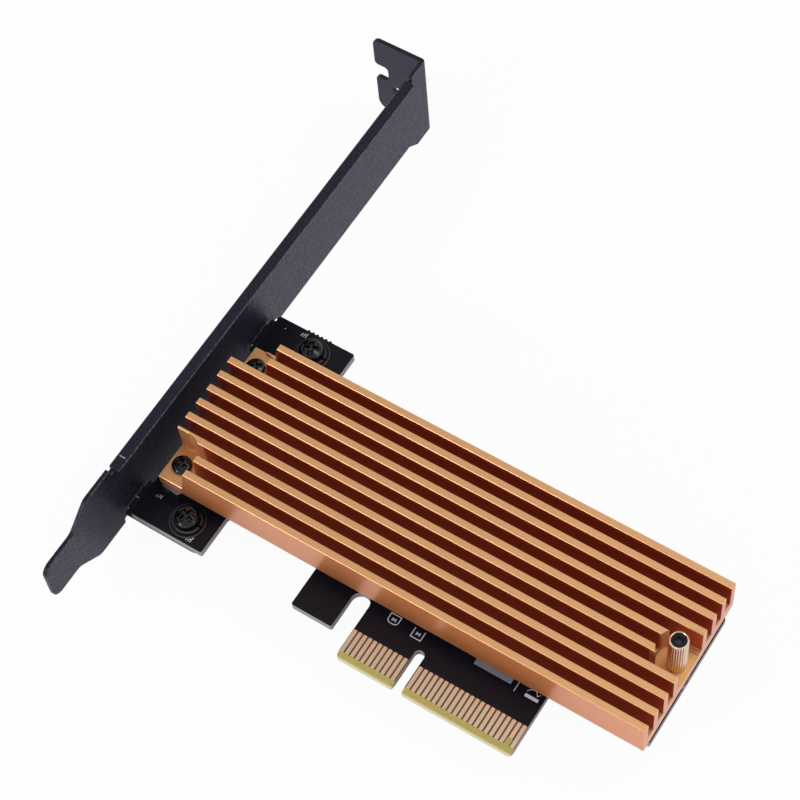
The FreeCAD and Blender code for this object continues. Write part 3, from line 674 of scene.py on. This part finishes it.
def pocket_mask(shader, place):
    """The milled faces: the thumb nut's pocket and the two corners at the bracket's end."""
    low, high = box_in_mm("heatsink")
    nut = node_middle("thumb_nut")
    skin = 0.2                      # from the heatsink's outer faces
    end_skin = 0.3                  # from its free end
    nut_reach = 3.9                 # from the nut towards the bracket
    nut_half_width = 3.3
    corner_length = 5.9
    near_width, far_width = 7.25, 6.25
    boxes = (
        ((nut.x - nut_reach, nut.y - nut_half_width), (high.x - end_skin, nut.y + nut_half_width)),
        ((low.x + skin, low.y + skin), (low.x + corner_length, low.y + near_width)),
        ((low.x + skin, high.y - far_width), (low.x + corner_length, high.y - skin)),
    )
    mask = 0.0
    for corner, opposite in boxes:
        mask = shader.math("MAXIMUM", mask, within_box(shader, place, corner, opposite, soft=0.1))
    below_tops = shader.fall(place["Z"], high.z - 0.3, high.z - 0.2)
    return shader.product(mask, below_tops)


def swirl_marks(shader, place):
    """Arcs that a cutter leaves beside each of the two heatsink screws, from 0 to 1."""
    offset_x, offset_y = 0.8, -0.9  # from the screw to the arcs' middle
    spacing = 0.5
    reach = 4.8
    whole = 0.0
    for node in ("heatsink_screw_near", "heatsink_screw_far"):
        screw = node_middle(node)
        radius = distance_from(shader, place, screw.x + offset_x, screw.y + offset_y)
        wave = shader.math("SINE", shader.product(radius, 2 * math.pi / spacing))
        arcs = shader.product(shader.rise(wave, 0.2, 1.0), shader.fall(radius, reach - 0.2, reach + 0.2))
        whole = shader.math("MAXIMUM", whole, arcs)
    return whole


def rim_highlight_mask(shader, place, nodes, width):
    """The outer rims of round nodes, where a highlight is painted."""
    whole = 0.0
    for node in nodes:
        low, high = box_in_mm(node)
        middle = node_middle(node)
        outer = (high.x - low.x) / 2
        radius = distance_from(shader, place, middle.x, middle.y)
        rim = shader.rise(radius, outer - width, outer - 0.6 * width)
        close_by = shader.fall(radius, outer, 2 * outer)
        whole = shader.math("MAXIMUM", whole, shader.product(rim, close_by))
    return whole


def print_finish(name, tint):
    """Matt screen-printing ink."""
    material, shader, surface = new_material(name)
    grain = shader.grain(0.12, detail=2.0, contrast=1.5)
    shader.fill(surface, {"Base Color": shader.mix(grain, scaled(tint, 0.75), tint), "Roughness": 0.6})
    return material


# --- printed marks ---

def ribbon(name, path, width, low_z, high_z, closed=False):
    """A flat line of even width along a path in X and Y.

    Each path point is moved sideways by half the width along the mean of its two neighbours'
    normals; a rectangle of low and high corners is carried along, and open ends close to a point.
    """
    path = np.asarray(path, float)
    if closed:
        before, after = np.roll(path, 1, axis=0), np.roll(path, -1, axis=0)
    else:
        before = np.vstack([path[:1], path[:-1]])
        after = np.vstack([path[1:], path[-1:]])
    into = path - before
    out = after - path
    for part in (into, out):
        size = np.linalg.norm(part, axis=1, keepdims=True)
        part /= np.where(size > 0, size, 1)
    along = into + out
    along /= np.linalg.norm(along, axis=1, keepdims=True)
    side = np.stack([-along[:, 1], along[:, 0]], axis=1)
    lean = np.maximum(np.abs((out * along).sum(axis=1)), np.abs((into * along).sum(axis=1)))
    half = (width / 2 / np.maximum(lean, 0.4))[:, None]
    left, right = path + side * half, path - side * half
    rows = np.stack([
        np.column_stack([left, np.full(len(path), high_z)]),
        np.column_stack([left, np.full(len(path), low_z)]),
        np.column_stack([right, np.full(len(path), low_z)]),
        np.column_stack([right, np.full(len(path), high_z)]),
    ], axis=1)
    if not closed:
        rows = np.concatenate([rows[:1].mean(axis=1, keepdims=True).repeat(4, axis=1), rows,
                               rows[-1:].mean(axis=1, keepdims=True).repeat(4, axis=1)])
    return grid_mesh(name, rows, wrap_rows=closed, wrap_columns=True, smooth=False)


def arc_points(middle, radius, start, end, count=9):
    """Points on a circle between two angles in degrees."""
    angles = np.radians(np.linspace(start, end, count))
    return np.column_stack([middle[0] + radius * np.cos(angles), middle[1] + radius * np.sin(angles)])


def printed_marks(settings):
    """The white marks: two component outlines with their symbols, lines, bars and plain label strokes."""
    width = settings.line_width
    thin = 0.7 * width

    def line(points, closed=False, wide=width):
        return ribbon("mark", np.asarray(points, float) * MM, wide, 0, settings.print_height, closed)

    corner = 0.7
    round_outline = np.vstack([
        [(-8.05, 11.5), (-6.05, 11.5), (-6.05, 10.5)],
        arc_points((-6.75, 10.5), corner, 0, -90),
        arc_points((-7.35, 10.5), corner, -90, -180),
    ])
    marks = [
        line(round_outline[::-1], closed=True),
        line([(-3.15, 11.3), (-3.15, 9.55), (-1.2, 9.55), (-1.2, 11.3)]),
        line([(16.72, 9.95), (16.72, 11.8)], wide=thin),
        line([(18.6, 10.4), (21.1, 10.4)], wide=3.6 * width),
        line(arc_points((19.7, 10.6), 1.2, 155, 60), wide=thin),
        line([(20.2, 11.55), (20.55, 11.1), (20.95, 11.55)], wide=thin),
    ]
    for x, y in ((-7.0, 10.6), (-2.15, 10.45)):
        marks += [
            line([(x - 0.3, y - 0.3), (x - 0.3, y + 0.3)], wide=1.3 * width),
            line([(x - 0.3, y - 0.05), (x + 0.3, y + 0.1)], wide=1.6 * width),
            line([(x + 0.3, y - 0.3), (x + 0.3, y + 0.3)], wide=1.1 * width),
        ]
    labels = (
        # x, y, width and height in millimetres, and the line's width
        (-51.5, 48.95, 0.9, 1.0, 1.3 * thin),
        (-55.2, 8.95, 0.95, 0.9, 0.7 * thin),
        (-45.9, 4.75, 0.85, 1.1, 1.3 * thin),
    )
    for x, y, across, tall, wide in labels:
        for index, part in enumerate((0.7, 0.85, 1.0)):
            foot = x + 0.5 * across * index
            marks.append(line([(foot, y), (foot + 0.15 * tall, y + tall * part)], wide=wide))
        bar = [(x + 0.55 * across, y + 0.55 * tall), (x + 1.1 * across, y + 0.5 * tall)]
        marks.append(line(bar, wide=wide))
    marks.append(line([(-54.8, 48.77), (-54.62, 48.77)], wide=0.18 * MM))
    return joined("printed_marks", marks)


# --- screws and the thumb nut, as surfaces of turned profiles ---

def turned(name, x, y, radii, heights, columns, wrap_rows=False):
    """A surface of rows by columns: radii and heights are arrays, one value for each point."""
    angles = np.linspace(0, 2 * math.pi, columns, endpoint=False)[None, :]
    points = np.stack([x + radii * np.cos(angles), y + radii * np.sin(angles),
                       heights + 0 * angles], axis=-1)
    return grid_mesh(name, points, wrap_rows=wrap_rows, wrap_columns=True)


def cross_recess(radii, angles, reach, half_width, depth, slope_width):
    """Depth of a cross recess: two arms and a round middle, with sloping walls.

    How far a point is outside them gives a smooth step from full depth to none over the slope's
    width, and the floor rises towards the arms' ends.
    """
    middle_radius = 1.6 * half_width
    floor_rise = 0.45
    u, v = np.abs(radii * np.cos(angles)), np.abs(radii * np.sin(angles))
    first = np.maximum(u - reach, v - half_width)
    second = np.maximum(v - reach, u - half_width)
    middle = np.maximum(np.hypot(u, v) - middle_radius, 0)
    outside = np.minimum(np.minimum(first, second), middle)
    wall = np.clip(0.5 - outside / slope_width, 0, 1)
    wall = wall * wall * (3 - 2 * wall)
    return depth * wall * (1 - floor_rise * np.clip(radii / reach, 0, 1))


# a cross-recess head, as shares of its height or of its radius
SIDE_HEIGHT = 0.4
ROUNDING_HEIGHT = 0.4
FOOT_HEIGHT = 0.08
RECESS_DEPTH_HEIGHT = 0.6
RECESS_REACH_RADIUS = 0.62
ARM_HALF_WIDTH_RADIUS = 0.17
RECESS_SLOPE_RADIUS = 0.16


def cross_screw(name, node, head_radius, head_height, shank_radius, pitch, turn):
    """A cross-recess pan head on a threaded shank, from the CAD screw's box.

    The profile runs from the top's middle out over a dome, which falls with the square of the
    radius, round the rim by a quarter circle, in under the head and down the shank to its tail.
    The recess is taken off the dome, and the thread is a cosine of height less turn.
    """
    low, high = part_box(node)
    x, y = (low.x + high.x) / 2, (low.y + high.y) / 2
    seat = high.z - head_height
    columns = 128
    angles = np.linspace(0, 2 * math.pi, columns, endpoint=False)[None, :]
    corner = ROUNDING_HEIGHT * head_height
    rim_z = seat + SIDE_HEIGHT * head_height
    dome_r = np.linspace(0, head_radius - corner, 46)
    crown = high.z - rim_z - corner
    dome_z = rim_z + corner + crown * (1 - (dome_r / (head_radius - corner)) ** 2)
    sweep = np.linspace(math.pi / 2, 0, 7)[1:]
    rim_r = head_radius - corner + corner * np.cos(sweep)
    round_z = rim_z + corner * np.sin(sweep)
    foot = FOOT_HEIGHT * head_height
    under_r = np.array([head_radius, head_radius - foot, shank_radius])
    under_z = np.array([seat + foot, seat, seat])
    shank_z = np.linspace(seat, low.z + 0.3 * MM, max(24, int((seat - low.z) / pitch * 10)))[1:]
    shank_r = np.full(len(shank_z), shank_radius)
    radii = np.concatenate([dome_r, rim_r, under_r, shank_r, [0.6 * shank_radius, 0]])
    heights = np.concatenate([dome_z, round_z, under_z, shank_z, [low.z, low.z]])
    radii = radii[:, None] + 0 * angles
    heights = heights[:, None] + 0 * angles
    row = np.arange(len(radii))[:, None]
    recess = cross_recess(radii, angles + math.radians(turn), RECESS_REACH_RADIUS * head_radius,
                          ARM_HALF_WIDTH_RADIUS * head_radius, RECESS_DEPTH_HEIGHT * head_height,
                          RECESS_SLOPE_RADIUS * head_radius)
    heights = heights - recess * (row < len(dome_r))
    first = len(dome_r) + len(rim_r) + len(under_r)
    threaded = (row >= first) & (row < first + len(shank_z))
    wave = 0.5 - 0.5 * np.cos(2 * math.pi * heights / pitch - angles)
    radii = radii - 0.3 * pitch * wave * threaded
    return turned(name, x, y, radii, heights, columns)


def ribbed_nut(name, node, ribs, rib_depth, bore_radius, seat_radius, seat_depth):
    """The thumb nut: a sleeve whose outside is a rounded comb of ribs that fade at both chamfers.

    The profile runs up the wall, in over the top, down into the clamp screw's seat and down the
    bore. On the wall the rib depth comes off the radius by a cosine wave of the angle, from 0 to 1
    and raised to a power.
    """
    low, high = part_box(node)
    x, y = (low.x + high.x) / 2, (low.y + high.y) / 2
    outer = (high.x - low.x) / 2
    chamfer = 0.22 * MM
    steps = 26
    sharpness = 1.6
    wall_z = np.linspace(low.z + chamfer, high.z - chamfer, steps)
    seat_z = high.z - seat_depth
    profile_r = np.concatenate([[outer - chamfer], np.full(steps, outer), [outer - chamfer, seat_radius],
                                [seat_radius, bore_radius, bore_radius]])
    profile_z = np.concatenate([[low.z], wall_z, [high.z, high.z], [seat_z, seat_z, low.z]])
    columns = ribs * 10
    angles = np.linspace(0, 2 * math.pi, columns, endpoint=False)[None, :]
    comb = (0.5 - 0.5 * np.cos(ribs * angles)) ** sharpness
    on_wall = np.zeros(len(profile_r))
    on_wall[1:1 + steps] = 1
    radii = profile_r[:, None] - rib_depth * comb * on_wall[:, None]
    return turned(name, x, y, radii, profile_z[:, None], columns, wrap_rows=True)


# --- operators: one for each piece or group of like pieces ---

class CARD_OT_camera(bpy.types.Operator):
    """Sets the camera at its viewing angle"""
    bl_idname = "card.camera"
    bl_label = "Camera"

    def execute(self, context):
        settings = context.scene.card_camera
        right, above, back = view_axes(settings)
        data = bpy.data.cameras.new("view")
        data.sensor_width = 36
        data.lens = settings.focal_length
        data.clip_start, data.clip_end = 0.01, 20
        camera = linked("view", data)
        place = Vector(settings.target) + back * settings.distance
        turn = Matrix((right, above, back)).transposed().to_4x4()
        camera.matrix_world = Matrix.Translation(place) @ turn
        context.scene.camera = camera
        return {"FINISHED"}


class CARD_OT_stage(bpy.types.Operator):
    """Makes the pale floor, the sky and the soft lamps"""
    bl_idname = "card.stage"
    bl_label = "Stage"

    def execute(self, context):
        settings = context.scene.card_stage
        self.make_floor(settings)
        self.make_sky(context, settings)
        low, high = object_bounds()
        middle = (low + high) / 2
        lamps = (
            # name, place from the card's middle, size, power and colour
            ("key_lamp", (0.22, 0.27, 0.75), (0.3, 0.4), settings.key_power, (1, 1, 1)),
            ("side_lamp", (0.73, 0.1, 0.3), (0.4, 0.3), settings.side_power, settings.side_tint),
            ("front_lamp", (-0.28, -0.68, 0.36), (0.2, 0.1), settings.front_power, (1, 1, 1)),
        )
        for name, offset, size, power, tint in lamps:
            area_lamp(name, middle + Vector(offset), middle, size, power, tint)
        context.scene.view_settings.view_transform = "Standard"
        return {"FINISHED"}

    def make_floor(self, settings):
        """A flat square just below the card, its face up."""
        half = 3.0
        gap = 0.05 * MM
        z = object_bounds()[0].z - gap
        points = np.array([[(-half, -half, z), (half, -half, z)], [(-half, half, z), (half, half, z)]])
        floor = grid_mesh("floor", points, smooth=False)
        if floor.data.polygons[0].normal.z < 0:
            floor.data.flip_normals()
        floor.data.materials.append(self.floor_material(settings))
        floor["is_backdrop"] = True

    def floor_material(self, settings):
        """Pale, with a light of its own to the camera and in mirrors, and clear to a camera below."""
        material, shader, surface = new_material("floor")
        shader.fill(surface, {"Base Color": settings.floor, "Roughness": 0.9})
        rays = shader.node("ShaderNodeLightPath").outputs
        geometry = shader.node("ShaderNodeNewGeometry").outputs
        tinted = shader.mix(rays["Is Glossy Ray"], (1, 1, 1), settings.mirrored_floor)
        glow = shader.node("ShaderNodeEmission", {"Color": tinted})
        spot = shader.node("ShaderNodeSeparateXYZ", {0: geometry["Position"]}).outputs
        low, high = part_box("circuit_board")
        under_card = within_box(shader, spot, low, high, soft=3 * MM)
        shade = shader.product(under_card, settings.under_shade)
        mirrored = shader.product(rays["Is Glossy Ray"], shader.math("SUBTRACT", 1.0, shade))
        seen = shader.math("ADD", rays["Is Camera Ray"], mirrored, clamp=True)
        seen = shader.math("ADD", seen, rays["Is Transmission Ray"], clamp=True)
        glowing = shader.product(seen, settings.floor_glow)
        lit = shader.node("ShaderNodeMixShader", {0: glowing, 1: surface.outputs[0], 2: glow.outputs[0]})
        from_below = shader.product(geometry["Backfacing"], rays["Is Camera Ray"])
        clear = shader.node("ShaderNodeBsdfTransparent")
        whole = shader.node("ShaderNodeMixShader", {0: from_below, 1: lit.outputs[0], 2: clear.outputs[0]})
        shader.fill(shader.first("OUTPUT_MATERIAL"), {"Surface": whole.outputs[0]})
        return material

    def make_sky(self, context, settings):
        """Soft light from all round, at full strength where the camera sees it."""
        world = bpy.data.worlds.new("sky")
        world.use_nodes = True
        context.scene.world = world
        shader = Shader(world.node_tree)
        to_camera = shader.node("ShaderNodeLightPath").outputs["Is Camera Ray"]
        strength = shader.between(to_camera, settings.sky_strength, 1.0)
        shader.fill(shader.first("BACKGROUND"), {"Color": settings.sky, "Strength": strength})


class CARD_OT_board(bpy.types.Operator):
    """Finishes the circuit board and its contact pads"""
    bl_idname = "card.board"
    bl_label = "Board"

    def execute(self, context):
        settings = context.scene.card_board
        paint_nodes(board_finish(settings), "circuit_board")
        pads = metal_finish("pad_gold", settings.pad, roughness=0.32, spacing=0.2, stretch=(1, 0.1, 1),
                            depth=0.004)
        paint_nodes(pads, "contact_pads_component_side", "contact_pads_solder_side")
        return {"FINISHED"}


class CARD_OT_board_print(bpy.types.Operator):
    """Prints the marks on the board"""
    bl_idname = "card.board_print"
    bl_label = "Board print"

    def execute(self, context):
        settings = context.scene.card_board
        dress(printed_marks(settings), print_finish("white_ink", settings.print_white))
        bar_path = np.array([(8.5, 11.3), (15.65, 11.3)]) * MM
        bar = ribbon("printed_bar", bar_path, 1.15 * MM, 0, settings.print_height)
        dress(bar, print_finish("grey_ink", settings.print_grey))
        return {"FINISHED"}


class CARD_OT_bracket(bpy.types.Operator):
    """Finishes the slot bracket and breaks its edges"""
    bl_idname = "card.bracket"
    bl_label = "Bracket"

    def execute(self, context):
        paint_nodes(coat_finish(context.scene.card_bracket), "slot_bracket")
        break_edges("slot_bracket", width=0.12 * MM)
        return {"FINISHED"}


class CARD_OT_heatsink(bpy.types.Operator):
    """Finishes the heatsink and breaks its edges"""
    bl_idname = "card.heatsink"
    bl_label = "Heatsink"

    def execute(self, context):
        settings = context.scene.card_heatsink
        paint_nodes(heatsink_finish(settings), "heatsink")
        break_edges("heatsink", width=settings.edge_break, segments=1)
        return {"FINISHED"}


SCREWS = (
    # name, {place: turn of the recess}, head radius, head height, shank radius and thread pitch
    ("bracket_screw_", {"low": 20, "high": 65}, 2.15, 1.7, 1.45, 0.5),
    ("heatsink_screw_", {"near": 10, "far": 50}, 1.8, 1.25, 0.95, 0.4),
)


class CARD_OT_screws(bpy.types.Operator):
    """Makes the cross-recess screws, with their threads, and finishes the washers"""
    bl_idname = "card.screws"
    bl_label = "Screws"

    def execute(self, context):
        settings = context.scene.card_fasteners
        black = metal_finish("black_oxide", settings.black, roughness=0.13, metallic=0.0, spacing=0.6,
                             depth=0.002)
        for kind, turns, *millimetres in SCREWS:
            sizes = [size * MM for size in millimetres]
            for place, turn in turns.items():
                node = kind + place
                screw = cross_screw("cross_" + node, node, *sizes, turn)
                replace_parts(dress(screw, black), node)
        for kind, width in (("washer", 0.16), ("lock_washer", 0.12)):
            self.finish_washers(kind, width, settings)
        return {"FINISHED"}

    def finish_washers(self, kind, width, settings):
        """Dark washers of one kind with a highlight painted on their rims, over a width in millimetres."""
        nodes = ["bracket_%s_%s" % (kind, place) for place in ("low", "high")]
        dark = metal_finish("dark_" + kind, settings.dark, roughness=0.2, metallic=0.0, specular=0.2,
                            paler_mask=lambda shader, place: rim_highlight_mask(shader, place, nodes, width),
                            brightened=settings.painted_highlight)
        paint_nodes(dark, *nodes)
        for node in nodes:
            break_edges(node, width=0.08 * MM)


class CARD_OT_supports(bpy.types.Operator):
    """Finishes the standoffs and the spacer and breaks their edges"""
    bl_idname = "card.supports"
    bl_label = "Supports"

    def execute(self, context):
        settings = context.scene.card_fasteners
        bright = metal_finish("bright_plate", settings.bright, roughness=0.3, stretch=(1, 1, 6),
                              variation=0.1)
        nodes = ("standoff_near", "standoff_far", "drive_end_spacer")
        paint_nodes(bright, *nodes)
        for node in nodes:
            break_edges(node, width=0.1 * MM)
        return {"FINISHED"}


class CARD_OT_thumb_nut(bpy.types.Operator):
    """Makes the ribbed thumb nut and finishes its clamp screw"""
    bl_idname = "card.thumb_nut"
    bl_label = "Thumb nut"

    def execute(self, context):
        settings = context.scene.card_fasteners
        pale = metal_finish("nut_gold", settings.nut, roughness=0.27, stretch=(1, 1, 0.1), variation=0.12)
        nut = ribbed_nut("ribbed_thumb_nut", "thumb_nut", ribs=24, rib_depth=0.14 * MM,
                         bore_radius=0.95 * MM, seat_radius=1.34 * MM, seat_depth=1.52 * MM)
        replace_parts(dress(nut, pale), "thumb_nut")
        # The head's middle is tinted paler and bluish.
        head = metal_finish("black_socket_head", settings.black, roughness=0.16, metallic=0.0,
                            specular=0.3, paler_mask=self.pale_middle_mask, brightened=settings.pale_middle)
        paint_nodes(head, "clamp_screw")
        break_edges("clamp_screw", width=0.1 * MM)
        return {"FINISHED"}

    @staticmethod
    def pale_middle_mask(shader, place):
        """A mask over the middle of the clamp screw's head."""
        middle = node_middle("clamp_screw")
        return shader.fall(distance_from(shader, place, middle.x, middle.y), 0.5, 0.75)


class CARD_OT_socket(bpy.types.Operator):
    """Finishes the drive socket and the capacitors under the heatsink"""
    bl_idname = "card.socket"
    bl_label = "Drive socket"

    def execute(self, context):
        settings = context.scene.card_socket
        plastic = metal_finish("socket_plastic", settings.plastic, roughness=0.5, metallic=0.0, spacing=0.4)
        paint_nodes(plastic, "drive_socket")
        tin = metal_finish("tin_plate", settings.tin, roughness=0.35)
        paint_nodes(tin, "drive_socket_pins_rear", "drive_socket_pins_front", "drive_socket_anchors",
                    "supply_capacitor_ends")
        ceramic = metal_finish("ceramic", settings.ceramic, roughness=0.55, metallic=0.0, spacing=0.3)
        paint_nodes(ceramic, "supply_capacitors")
        return {"FINISHED"}


class CARD_PT_panel(bpy.types.Panel):
    """Lists the operators in the order in which they run"""
    bl_label = "Adapter card"
    bl_space_type = "VIEW_3D"
    bl_region_type = "UI"
    bl_category = "Adapter card"

    def draw(self, context):
        for operator in OPERATORS:
            self.layout.operator(operator.bl_idname)


OPERATORS = (
    CARD_OT_board,
    CARD_OT_board_print,
    CARD_OT_bracket,
    CARD_OT_heatsink,
    CARD_OT_screws,
    CARD_OT_supports,
    CARD_OT_thumb_nut,
    CARD_OT_socket,
    CARD_OT_stage,
    CARD_OT_camera,
)


def register():
    for group in SETTINGS.values():
        bpy.utils.register_class(group)
    for name, group in SETTINGS.items():
        setattr(bpy.types.Scene, name, bpy.props.PointerProperty(type=group))
    for operator in OPERATORS:
        bpy.utils.register_class(operator)
    bpy.utils.register_class(CARD_PT_panel)


def unregister():
    bpy.utils.unregister_class(CARD_PT_panel)
    for operator in reversed(OPERATORS):
        bpy.utils.unregister_class(operator)
    for name, group in SETTINGS.items():
        delattr(bpy.types.Scene, name)
        bpy.utils.unregister_class(group)


def main():
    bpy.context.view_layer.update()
    register()
    shared_groups()
    for operator in OPERATORS:
        category, action = operator.bl_idname.split(".")
        getattr(getattr(bpy.ops, category), action)()


if __name__ == "__main__":
    main()
